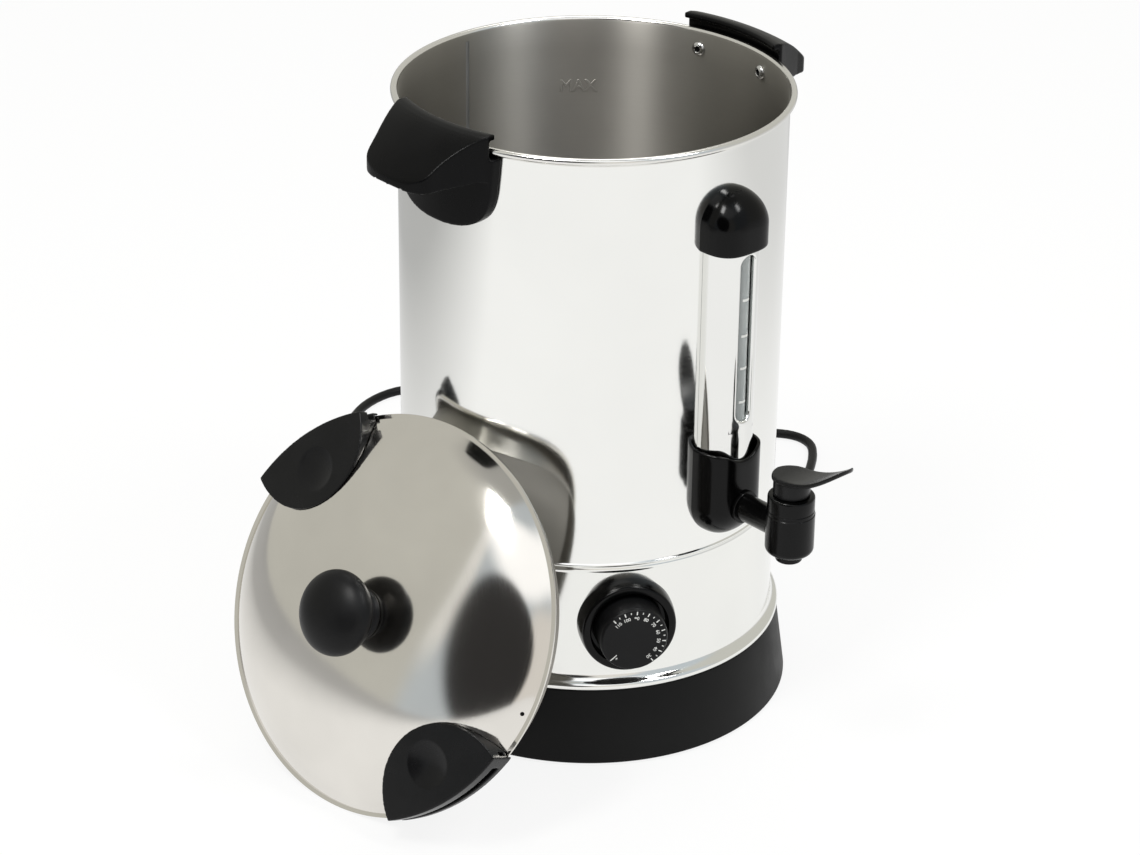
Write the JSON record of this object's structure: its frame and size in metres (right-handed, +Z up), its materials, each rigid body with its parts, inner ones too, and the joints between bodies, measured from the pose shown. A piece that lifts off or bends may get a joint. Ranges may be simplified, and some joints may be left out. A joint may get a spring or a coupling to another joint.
{
  "type": "mulled wine urn",
  "caption": "Heated steel drink urn with a temperature dial, level gauge, spring tap, side handles and a lid that leans against it",
  "frame": {"origin": "on the table under the middle of the tank, in the plane of the rubber feet", "axes": "+Z up along the axis of the tank; the tap and gauge face -Y, the handles lie along X, the cord leaves at +Y"},
  "size_m": [0.5467, 0.5782, 0.3878],
  "materials": {
    "polished_steel": "polished",
    "brushed_steel": "brushed",
    "bright_steel": "bright",
    "black_plastic": "satin",
    "gloss_black": "glossy",
    "black_rubber": "matte",
    "white_rubber": "matte",
    "gauge_glass": "clear",
    "aluminium_plate": "cast",
    "element_sheath": "heat-stained",
    "copper_bulb": "bare copper",
    "brass": "bare",
    "wire_sleeve": "matte",
    "pale_plastic": "moulded"
  },
  "bodies": {
    "urn": {"tank_wall": "polished_steel", "tank_floor": "brushed_steel", "base_band": "polished_steel", "base_skirt": "black_plastic", "base_plate": "brushed_steel", "base_plate_screws": "bright_steel", "rubber_feet": "black_rubber", "heater_plate": "aluminium_plate", "heating_element": "element_sheath", "thermal_cutout": "pale_plastic", "thermostat_body": "pale_plastic", "thermostat_screws": "bright_steel", "thermostat_bulb": "copper_bulb", "terminal_block": "pale_plastic", "internal_wires": "wire_sleeve", "earth_screw": "brass", "dial_bezel": "gloss_black", "gauge_cover": "polished_steel", "gauge_top_cap": "gloss_black", "gauge_cap_screw": "bright_steel", "gauge_tube": "gauge_glass", "gauge_seals": "white_rubber", "gauge_tee": "gloss_black", "tap_housing": "gloss_black", "tap_body": "gloss_black", "tap_spout": "gloss_black", "tap_nut": "black_plastic", "tap_gaskets": "white_rubber", "tap_bonnet": "gloss_black", "tap_spring": "bright_steel", "handle_left": "black_plastic", "handle_right": "black_plastic", "handle_screws": "bright_steel", "cord_gland": "black_rubber", "cord_lead": "black_rubber", "cord_coil": "black_rubber", "cord_tail": "black_rubber", "mains_plug": "black_plastic", "plug_pins": "bright_steel"},
    "dial": {"dial_knob": "black_plastic", "thermostat_shaft": "bright_steel"},
    "valve": {"tap_stem": "bright_steel", "tap_seat_cup": "white_rubber"},
    "lever": {"tap_lever": "gloss_black", "lever_pin": "bright_steel"},
    "lid": {"lid_shell": "polished_steel", "lid_ring": "brushed_steel", "lid_lug_a": "black_plastic", "lid_lug_b": "black_plastic", "lug_rivets": "bright_steel", "lid_knob": "black_plastic", "lid_knob_screw": "bright_steel"}
  },
  "joints": [
    {"name": "dial_turn", "type": "hinge", "parent": "urn", "child": "dial", "pos_m": [-0.05684, -0.0965, 0.091], "axis": [-0.5075, -0.8616, 0], "range_deg": [-42, 229]},
    {"name": "stem_lift", "type": "slide", "parent": "urn", "child": "valve", "axis": [0, 0, 1], "range_m": [0, 0.0036], "deforming": ["tap_spring"]},
    {"name": "lever_tilt", "type": "hinge", "parent": "valve", "child": "lever", "pos_m": [0, -0.169, 0.1901], "axis": [1, 0, 0], "range_deg": [0, 22], "stiffness_Nm_per_rad": 0.3, "springref_deg": -4.58},
    {"name": "lid_lift", "type": "slide", "parent": "urn", "child": "lid", "axis": [-0.6984, -0.1106, 0.7071], "range_m": [0, 0.25]}
  ],
  "couplings": [
    {"joint": "lever_tilt", "follows": "stem_lift", "rad_per_m": 106.66}
  ]
}
